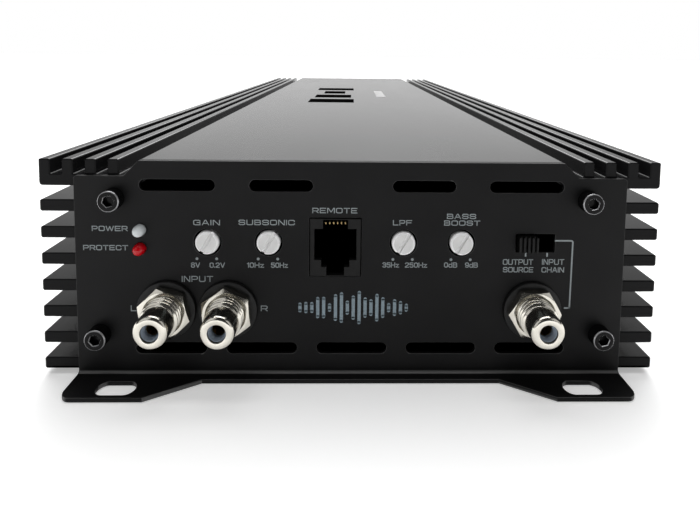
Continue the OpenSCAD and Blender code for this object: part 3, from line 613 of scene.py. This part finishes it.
def phono_shell_mesh(x):
    """A bored shell: thread, smooth barrel, and a round lip about the mouth."""
    bore, root, thread, barrel, mouth, lip = 3.3, 4.05, 4.75, 4.15, 2.2, 1.0
    back, thread_end, reach, arc_steps = -8.0, 6.4, 10.8, 8
    rings = [(bore, back), (4.4, back)]
    rings += thread_rings(thread, root, back + 0.2, thread_end, 1.1)
    rings += [(barrel, thread_end + 0.05), (barrel, reach - lip - 0.1)]
    for step in range(arc_steps + 1):
        angle = math.pi / 2 * step / arc_steps
        rings.append((barrel - lip + lip * math.cos(angle), reach - lip + lip * math.sin(angle)))
    rings += [(mouth + 0.2, reach), (mouth + 0.05, reach - 0.08), (mouth, reach - 0.25), (mouth, reach - lip),
              (bore, reach - lip)]
    bm = bmesh.new()
    lathe(bm, rings, (x, -FACE, PHONO_Z))
    mesh = mesh_from(bm, "phono_shell")
    finish_mesh(mesh, 45)
    return mesh


def make_phono_jacks():
    """The three jacks' shells."""
    for x, node in zip(PHONO_XS, ("left_input_shell", "right_input_shell", "link_shell")):
        add_piece(node + "_threaded", phono_shell_mesh(x), "nickel", replaced=(node,))


def hexagon_radius(across_flats, turn_degrees):
    """The radius of a hexagon, as a function of the angle."""

    def radius(angle):
        local = (angle - math.radians(turn_degrees)) % (math.pi / 3) - math.pi / 6
        return across_flats / 2 / math.cos(local)

    return radius


def make_nuts():
    """Hexagon nuts over the washers, chamfered on their corners."""
    flat = NUT_AF / 2 - 0.1
    low, high = WASHER_T, WASHER_T + NUT_T
    bm = bmesh.new()
    for x, turn in zip(PHONO_XS, NUT_TURNS):
        wide = hexagon_radius(NUT_AF, turn)

        def drop(angle, wide=wide):
            return max(0.0, (wide(angle) - flat) * 0.55)

        rings = [(THREAD_BORE, low + 0.3), (THREAD_BORE + 0.35, low), (flat, low),
                 (wide, lambda a, d=drop: low + d(a)), (wide, lambda a, d=drop: high - d(a)),
                 (flat, high), (THREAD_BORE + 0.35, high), (THREAD_BORE, high - 0.3)]
        lathe(bm, rings, (x, -FACE, PHONO_Z), 180)
    mesh = mesh_from(bm, "nuts")
    finish_mesh(mesh, 25)
    add_piece("phono_nuts_chamfered", mesh, "nickel", replaced=("phono_nuts",))


def make_washers():
    """Round-edged insulating washers."""
    rings = [(THREAD_BORE, 0.02), (WASHER_R - 0.15, 0.02), (WASHER_R, 0.17), (WASHER_R, 0.75),
             (WASHER_R - 0.08, 0.93), (WASHER_R - 0.25, WASHER_T), (THREAD_BORE + 0.15, WASHER_T),
             (THREAD_BORE, WASHER_T - 0.15)]
    bm = bmesh.new()
    for x in PHONO_XS:
        lathe(bm, rings, (x, -FACE, PHONO_Z))
    mesh = mesh_from(bm, "washers")
    finish_mesh(mesh, 40)
    add_piece("phono_washers_rounded", mesh, "washer_fibre", replaced=("phono_washers",))


def make_panel_screws():
    """Socket head screws with a knurled rim, four in each panel."""
    head_r, head_l, shank_r, shank_end, recess, middle = 2.75, 3.0, 1.4, -11, 1.5, 0.03
    socket = hexagon_radius(2.5, 12)

    def knurl(angle):
        return head_r - 0.09 * abs(math.sin(angle * 18))

    rings = [(shank_r + 0.05, 0.02), (head_r - 0.05, 0.02), (knurl, 0.15), (knurl, head_l - 0.4),
             (2.68, 2.72), (2.62, 2.86), (2.5, 2.96), (2.36, head_l), (1.78, head_l),
             (lambda a: socket(a) + 0.16, 2.95), (lambda a: socket(a) + 0.04, 2.82),
             (socket, 2.7), (socket, head_l - recess),
             (middle, head_l - recess - 0.1), (middle, shank_end), (shank_r, shank_end)]
    bm = bmesh.new()
    for end in (-1, 1):
        turn = Matrix.Rotation(math.pi, 4, "Z") if end > 0 else Matrix.Identity(4)
        for side in (-1, 1):
            for x, z in (TOP_PORT, LOW_PORT):
                lathe(bm, rings, (0, 0, 0), 144)
                fresh = [v for v in bm.verts if not v.tag]
                place = Matrix.Translation(Vector((side * x, end * FACE, z)) * MM)
                bmesh.ops.transform(bm, matrix=place @ turn, verts=fresh)
                for vert in fresh:
                    vert.tag = True
    mesh = mesh_from(bm, "panel_screws")
    finish_mesh(mesh, 30)
    add_piece("end_panel_screws_knurled", mesh, "black_screw", replaced=("end_panel_screws",))


def make_leds():
    """Round LED lenses with a flange behind the panel."""
    rim, middle, straight, arc_steps = LED_R + 0.4, 0.02, 0.6, 8
    for node, z in zip(("power_led", "protect_led"), LED_ZS):
        bm = bmesh.new()
        rings = [(middle, -2.4), (rim - 0.05, -2.4), (rim, -2.3), (rim, -1.5),
                 (LED_R, -1.4), (LED_R, straight)]
        for step in range(1, arc_steps):
            angle = math.pi / 2 * step / arc_steps
            rings.append((LED_R * math.cos(angle), straight + LED_R * math.sin(angle)))
        rings.append((middle, straight + LED_R))
        lathe(bm, rings, (LED_X, -FACE, z), 48)
        mesh = mesh_from(bm, node)
        finish_mesh(mesh, 50)
        add_piece(node + "_lens", mesh, SLOTS[node], replaced=(node,))


# --- printing --------------------------------------------------------------


# Squared capitals as strokes, in a box 4 wide and 6 high; wider letters run past it.
GLYPHS = {
    "A": [[(0, 0), (1.7, 6), (2.3, 6), (4, 0)], [(0.6, 1.9), (3.4, 1.9)]],
    "B": [[(0, 3.1), (3.1, 3.1), (3.8, 3.7), (3.8, 5.3), (3.1, 6), (0, 6), (0, 0), (3.3, 0), (4, 0.7),
           (4, 2.4), (3.3, 3.1)]],
    "C": [[(4, 4.4), (4, 5.2), (3.2, 6), (0.8, 6), (0, 5.2), (0, 0.8), (0.8, 0), (3.2, 0), (4, 0.8),
           (4, 1.6)]],
    "D": [[(0, 0), (0, 6), (3, 6), (4, 5), (4, 1), (3, 0), (0, 0)]],
    "E": [[(4, 6), (0, 6), (0, 0), (4, 0)], [(0, 3), (3.5, 3)]],
    "F": [[(4, 6), (0, 6), (0, 0)], [(0, 3), (3.5, 3)]],
    "G": [[(4, 4.8), (4, 5.2), (3.2, 6), (0.8, 6), (0, 5.2), (0, 0.8), (0.8, 0), (4, 0), (4, 3), (2.2, 3)]],
    "H": [[(0, 0), (0, 6)], [(4, 0), (4, 6)], [(0, 3), (4, 3)]],
    "I": [[(0, 0), (0, 6)]],
    "K": [[(0, 0), (0, 6)], [(4, 6), (0.6, 3), (4, 0)], [(0, 3), (0.8, 3)]],
    "L": [[(0, 6), (0, 0), (3.7, 0)]],
    "M": [[(0, 0), (0, 6), (0.5, 6), (2.5, 1), (4.5, 6), (5, 6), (5, 0)]],
    "N": [[(0, 0), (0, 6), (0.4, 6), (3.6, 0), (4, 0), (4, 6)]],
    "O": [[(0.8, 0), (3.4, 0), (4.2, 0.8), (4.2, 5.2), (3.4, 6), (0.8, 6), (0, 5.2), (0, 0.8), (0.8, 0)]],
    "P": [[(0, 0), (0, 6), (3.2, 6), (4, 5.2), (4, 3.3), (3.2, 2.5), (0, 2.5)]],
    "R": [[(0, 0), (0, 6), (3.2, 6), (4, 5.2), (4, 3.3), (3.2, 2.5), (0, 2.5)], [(2.4, 2.5), (4, 0)]],
    "S": [[(4, 4.7), (4, 5.2), (3.2, 6), (0.8, 6), (0, 5.2), (0, 3.9), (0.8, 3.1), (3.2, 3.1), (4, 2.3),
           (4, 0.8), (3.2, 0), (0.8, 0), (0, 0.8), (0, 1.3)]],
    "T": [[(0, 6), (4, 6)], [(2, 6), (2, 0)]],
    "U": [[(0, 6), (0, 0.8), (0.8, 0), (3.2, 0), (4, 0.8), (4, 6)]],
    "V": [[(0, 6), (1.9, 0), (2.1, 0), (4, 6)]],
    "W": [[(0, 6), (1.3, 0), (1.5, 0), (2.8, 5.6), (3, 5.6), (4.3, 0), (4.5, 0), (5.8, 6)]],
    "z": [[(0, 4), (3, 4), (0, 0), (3, 0)]],
    "d": [[(3.3, 6), (3.3, 0), (0.8, 0), (0, 0.8), (0, 3.2), (0.8, 4), (3.3, 4)]],
    "0": [[(0.9, 0), (2.5, 0), (3.4, 0.9), (3.4, 5.1), (2.5, 6), (0.9, 6), (0, 5.1), (0, 0.9), (0.9, 0)]],
    "1": [[(0, 4.8), (1.2, 6), (1.2, 0)]],
    "2": [[(0, 4.9), (0, 5.2), (0.8, 6), (2.6, 6), (3.4, 5.2), (3.4, 3.8), (0, 0.6), (0, 0), (3.4, 0)]],
    "3": [[(0, 5.2), (0.8, 6), (2.6, 6), (3.4, 5.3), (3.4, 3.8), (2.6, 3.1), (1.2, 3.1)],
          [(2.6, 3.1), (3.4, 2.4), (3.4, 0.7), (2.6, 0), (0.8, 0), (0, 0.8)]],
    "5": [[(3.2, 6), (0.2, 6), (0, 3.5), (2.6, 3.5), (3.4, 2.7), (3.4, 0.8), (2.6, 0), (0.8, 0), (0, 0.8)]],
    "6": [[(3.2, 5.4), (2.6, 6), (0.8, 6), (0, 5.2), (0, 0.8), (0.8, 0), (2.6, 0), (3.4, 0.8), (3.4, 2.7),
           (2.6, 3.5), (0, 3.5)]],
    "9": [[(0.2, 0.6), (0.8, 0), (2.6, 0), (3.4, 0.8), (3.4, 5.2), (2.6, 6), (0.8, 6), (0, 5.2), (0, 3.3),
           (0.8, 2.5), (3.4, 2.5)]],
    ".": [[(0, 0), (0, 0.5)]],
    "+": [[(0, 3), (4, 3)], [(2, 1), (2, 5)]],
    "-": [[(0, 3), (4, 3)]],
}
LETTER_GAP = 1.5
STROKE = 0.22

LABELS = [  # words, centre x, centre z, width, height
    ("POWER", -61.7, 39.45, 9.0, 1.35), ("PROTECT", -62.85, 34.45, 11.3, 1.35),
    ("GAIN", -37.2, 41.1, 6.75, 1.4), ("SUBSONIC", -21.95, 41.2, 14.3, 1.4),
    ("REMOTE", -4.6, 44.4, 11.5, 1.4), ("LPF", 12.75, 41.3, 4.9, 1.4),
    ("BASS", 27.9, 43.05, 7.5, 1.35), ("BOOST", 28.1, 41.3, 9.3, 1.35),
    ("6V", -40.15, 29.95, 2.3, 1.35), ("0.2V", -34.6, 29.95, 3.9, 1.35),
    ("10Hz", -24.85, 30.0, 4.35, 1.35), ("50Hz", -18.7, 30.0, 4.35, 1.35),
    ("35Hz", 9.9, 30.15, 4.3, 1.35), ("250Hz", 16.45, 30.15, 5.7, 1.35),
    ("0dB", 25.4, 30.2, 3.4, 1.35), ("9dB", 30.8, 30.2, 3.3, 1.35),
    ("INPUT", -39.7, 26.3, 8.0, 1.55), ("L", -56.1, 18.45, 1.45, 1.5), ("R", -22.65, 18.5, 1.75, 1.5),
    ("OUTPUT", 42.9, 31.05, 7.9, 1.5), ("INPUT", 52.05, 31.1, 5.8, 1.5),
    ("SOURCE", 43.0, 29.0, 7.9, 1.4), ("CHAIN", 52.05, 29.0, 5.9, 1.4),
]

REAR_LABELS = [
    ("+12V", 43, 33.6, 6.4, 1.8), ("REM", 28, 33.6, 5.2, 1.8), ("GND", 13, 33.6, 5.4, 1.8),
    ("SPEAKER", -28, 36.6, 14, 1.8), ("+", -36, 33.3, 1.8, 1.8), ("-", -20, 33.3, 1.8, 0.35),
]


def add_bar(bm, x0, x1, z0, z1):
    """A flat rectangle of artwork."""
    corners = [bm.verts.new((x, z, 0)) for x, z in ((x0, z0), (x1, z0), (x1, z1), (x0, z1))]
    bm.faces.new(corners)


def add_disc(bm, x, z, radius, steps=20):
    """A flat disc of artwork."""
    verts = []
    for i in range(steps):
        angle = 2 * math.pi * i / steps
        verts.append(bm.verts.new((x + radius * math.cos(angle), z + radius * math.sin(angle), 0)))
    bm.faces.new(verts)


def add_ribbon(bm, points, half_width):
    """A flat line of even width through the points, with square ends; closed if its ends meet."""
    points = [Vector(p) for p in points]
    closed = (points[0] - points[-1]).length < 1e-6
    if closed:
        points.pop()
    pairs = []
    count = len(points)
    for i, point in enumerate(points):
        before = points[i - 1] if i or closed else None
        after = points[(i + 1) % count] if i < count - 1 or closed else None
        into = (point - before).normalized() if before else (after - point).normalized()
        out = (after - point).normalized() if after else into
        along = (into + out).normalized()
        side = along.orthogonal() * half_width / max(0.6, along.dot(into))
        if before is None:
            point = point - into * half_width
        if after is None:
            point = point + into * half_width
        pairs.append([bm.verts.new((*(point + side * s), 0)) for s in (-1, 1)])
    links = list(zip(pairs, pairs[1:]))
    if closed:
        links.append((pairs[-1], pairs[0]))
    for (a, b), (c, d) in links:
        bm.faces.new((a, b, d, c))


def add_words(bm, labels):
    """Lettering of each label's width and height, centred on its place."""
    for words, x, z, width, height in labels:
        extents = [max(p[0] for stroke in GLYPHS[letter] for p in stroke) for letter in words]
        total = sum(extents) + LETTER_GAP * (len(words) - 1)
        across = (width - STROKE) / total if total else 1
        up = (height - STROKE) / 6
        start = x - (width - STROKE) / 2 if total else x
        for letter, extent in zip(words, extents):
            for stroke in GLYPHS[letter]:
                add_ribbon(bm, [(start + px * across, z + (pz - 3) * up) for px, pz in stroke], STROKE / 2)
            start += (extent + LETTER_GAP) * across


def thickened(bm):
    """Turns flat artwork at z = 0 into closed films that reach down from it, in the same order each run."""
    flat = list(bm.faces)
    outer_edges = [list(edge.verts) for edge in bm.edges if len(edge.link_faces) == 1]
    below = {vert: bm.verts.new(vert.co - Vector((0, 0, FILM))) for vert in list(bm.verts)}
    for face in flat:
        bm.faces.new([below[vert] for vert in face.verts])
    for start, end in outer_edges:
        bm.faces.new((start, end, below[end], below[start]))
    bmesh.ops.recalc_face_normals(bm, faces=bm.faces)


def lay_on_panel(bm, name, end, surface):
    """Puts flat artwork on the face of the front (-1) or rear (1) panel."""
    thickened(bm)
    turn = Matrix.Rotation(math.pi / 2, 4, "X")
    if end > 0:
        turn = Matrix.Rotation(math.pi, 4, "Z") @ turn
    place = Matrix.Translation((0, end * (FACE + PRINT_LIFT) * MM, 0))
    bmesh.ops.transform(bm, matrix=place @ turn @ Matrix.Scale(MM, 4), verts=bm.verts)
    mesh = bpy.data.meshes.new(name)
    bm.to_mesh(mesh)
    bm.free()
    add_piece(name, mesh, "panel_paint", surface=surface)


def make_printing():
    """Labels on both panels; on the front also dots, ticks and the line from the switch to its jack."""
    ink = printing("label_ink", (0.23, 0.26, 0.27))
    dot_x, dot_z, dot_r = 2.5, 31.62, 0.36
    tick_x, tick_half = 2.8, 0.2
    line_half, bend_r, bend_steps = 0.2, 0.5, 6
    bm = bmesh.new()
    add_words(bm, LABELS)
    for x in KNOB_XS:
        for side in (-1, 1):
            add_disc(bm, x - 0.15 + side * dot_x, dot_z, dot_r)
    for side in (-1, 1):
        tick = SWITCH_X + side * tick_x
        add_bar(bm, tick - tick_half, tick + tick_half, 32.5, 33.55)
    line = [(52.5, 36.75)]
    for step in range(bend_steps + 1):
        angle = math.pi / 2 * step / bend_steps
        line.append((56.5 + math.sin(angle) * bend_r, 36.25 + math.cos(angle) * bend_r))
    line.append((56.8, 18.74))
    add_ribbon(bm, line, line_half)
    add_bar(bm, 55.4, 57.0, 18.55, 18.95)
    lay_on_panel(bm, "panel_printing", -1, ink)
    bm = bmesh.new()
    add_words(bm, REAR_LABELS)
    lay_on_panel(bm, "rear_printing", 1, ink)


def make_panel_mark():
    """An abstract row of level bars that swells and falls."""
    tint = printing("mark_ink", (0.19, 0.25, 0.29))
    count, left, width, middle, bar_half = 19, -14.2, 29.1, 18.75, 0.42
    bm = bmesh.new()
    for i in range(count):
        x = left + width * (i + 0.5) / count
        swell = math.sin(math.pi * (i + 0.5) / count)
        half = 0.6 + 3.5 * swell * abs(math.cos(i * 0.95))
        add_bar(bm, x - bar_half, x + bar_half, middle - half, middle + half)
        add_disc(bm, x, middle - half, bar_half, 16)
        add_disc(bm, x, middle + half, bar_half, 16)
    lay_on_panel(bm, "panel_mark", -1, tint)


def make_top_mark():
    """The same bars, large and dark, along the top."""
    tint = printing("top_mark_ink", (0.002, 0.002, 0.002), Specular_IOR_Level=0.0)
    count, middle, length, bar_half = 4, -12, 112, 9.5
    bm = bmesh.new()
    for i in range(count):
        y = -length / 2 + length * (i + 0.5) / count
        half = 5 + 8.5 * abs(math.sin(1.2 + i * 1.1))
        add_bar(bm, middle - half, middle + half, y - bar_half, y + bar_half)
    thickened(bm)
    place = Matrix.Translation((0, 0, (CASE_TOP - PRINT_LIFT) * MM))
    bmesh.ops.transform(bm, matrix=place @ Matrix.Scale(MM, 4), verts=bm.verts)
    mesh = bpy.data.meshes.new("top_mark")
    bm.to_mesh(mesh)
    bm.free()
    add_piece("top_mark", mesh, "case_paint", surface=tint)


# --- stage -----------------------------------------------------------------


# How strongly the world lights: from behind the case, from its far sides, and from the front.
BACKDROP, BACKDROP_SIDE, WORLD_FRONT = 1.0, 0.35, 0.05


def make_floor():
    """A pale floor, just under the feet."""
    bm = bmesh.new()
    bmesh.ops.create_grid(bm, x_segments=1, y_segments=1, size=8)
    mesh = bpy.data.meshes.new("floor")
    bm.to_mesh(mesh)
    bm.free()
    floor = bpy.data.objects.new("floor", mesh)
    bpy.context.scene.collection.objects.link(floor)
    floor.location.z = -0.0001
    made = Surface("pale_floor", (0.9, 0.9, 0.9), 0.9, Specular_IOR_Level=0.1, Emission_Strength=0.33)
    made.put("Emission Color", (1, 1, 1, 1))
    made.vary_color((0.88, 0.88, 0.88), 400)
    mesh.materials.append(made.material)


def make_world():
    """White all round for the camera; as light, a bright backdrop behind the case and dim elsewhere."""
    world = bpy.data.worlds.new("studio")
    bpy.context.scene.world = world
    world.use_nodes = True
    tree = world.node_tree
    tree.nodes.clear()

    def ranged(source, from_min, from_max, to_min, to_max):
        made = tree.nodes.new("ShaderNodeMapRange")
        made.interpolation_type = "SMOOTHSTEP"
        for socket, value in (("From Min", from_min), ("From Max", from_max), ("To Min", to_min),
                              ("To Max", to_max)):
            made.inputs[socket].default_value = value
        tree.links.new(source, made.inputs["Value"])
        return made.outputs["Result"]

    def combined(operation, *sources):
        made = tree.nodes.new("ShaderNodeMath")
        made.operation = operation
        for source, socket in zip(sources, made.inputs):
            tree.links.new(source, socket)
        return made.outputs[0]

    split = tree.nodes.new("ShaderNodeSeparateXYZ")
    tree.links.new(tree.nodes.new("ShaderNodeTexCoord").outputs["Generated"], split.inputs["Vector"])
    aside = ranged(combined("ABSOLUTE", split.outputs["X"]), 0.35, 0.7, 1.0, BACKDROP_SIDE)
    strength = combined("MULTIPLY", ranged(split.outputs["Y"], 0.1, 0.95, WORLD_FRONT, BACKDROP), aside)
    light = tree.nodes.new("ShaderNodeBackground")
    seen = tree.nodes.new("ShaderNodeBackground")
    seen.inputs["Color"].default_value = (1, 1, 1, 1)
    mix = tree.nodes.new("ShaderNodeMixShader")
    out = tree.nodes.new("ShaderNodeOutputWorld")
    tree.links.new(strength, light.inputs["Strength"])
    tree.links.new(tree.nodes.new("ShaderNodeLightPath").outputs["Is Camera Ray"], mix.inputs["Fac"])
    tree.links.new(light.outputs[0], mix.inputs[1])
    tree.links.new(seen.outputs[0], mix.inputs[2])
    tree.links.new(mix.outputs[0], out.inputs["Surface"])


def add_area_light(name, place, target, size, power):
    """A rectangular lamp at place, in metres, turned towards target."""
    lamp = bpy.data.lights.new(name, "AREA")
    lamp.shape = "RECTANGLE"
    lamp.size, lamp.size_y = size
    lamp.energy = power
    holder = bpy.data.objects.new(name, lamp)
    bpy.context.scene.collection.objects.link(holder)
    holder.location = place
    holder.rotation_euler = (Vector(target) - Vector(place)).to_track_quat("-Z", "Y").to_euler()


def make_lights():
    """Softboxes either side of the control panel, a strip overhead and a soft sky."""
    panel = (0, -0.19, 0.03)
    add_area_light("left_softbox", (-0.65, -0.75, 0.45), panel, (0.8, 0.8), 1.5)
    add_area_light("right_softbox", (0.9, -0.7, 0.45), panel, (0.8, 0.8), 1.2)
    add_area_light("overhead_strip", (0, -0.36, 1.2), (0, -0.3, 0), (1.4, 0.18), 4)
    lamp = bpy.data.lights.new("skylight", "SUN")
    lamp.energy = 4.0
    lamp.angle = 1.2
    holder = bpy.data.objects.new("skylight", lamp)
    bpy.context.scene.collection.objects.link(holder)
    holder.rotation_euler = (math.radians(-36), 0, 0)


def make_camera():
    """Low in front of the control panel, with the lens shifted down."""
    lens = bpy.data.cameras.new("camera")
    lens.sensor_width = 36
    lens.lens = 23.32
    lens.shift_x = -0.0124
    lens.shift_y = -0.2559
    lens.clip_start = 0.01
    camera = bpy.data.objects.new("camera", lens)
    bpy.context.scene.collection.objects.link(camera)
    yaw, pitch, roll = -0.017, -0.066, 0.0113
    turn = (Matrix.Rotation(yaw, 4, "Z") @ Matrix.Rotation(math.pi / 2 + pitch, 4, "X")
            @ Matrix.Rotation(roll, 4, "Z"))
    camera.matrix_world = Matrix.Translation((-0.00082, -0.30465, 0.0845)) @ turn
    bpy.context.scene.camera = camera


make_camera()
make_heatsink()
make_plain_nodes()
make_jack_housing()
make_jack_contacts()
make_phono_jacks()
make_nuts()
make_washers()
make_panel_screws()
make_leds()
dress_hidden_nodes()
make_printing()
make_panel_mark()
make_top_mark()
make_floor()
make_world()
make_lights()
bpy.context.scene.view_settings.view_transform = "Standard"

bpy.context.view_layer.update()
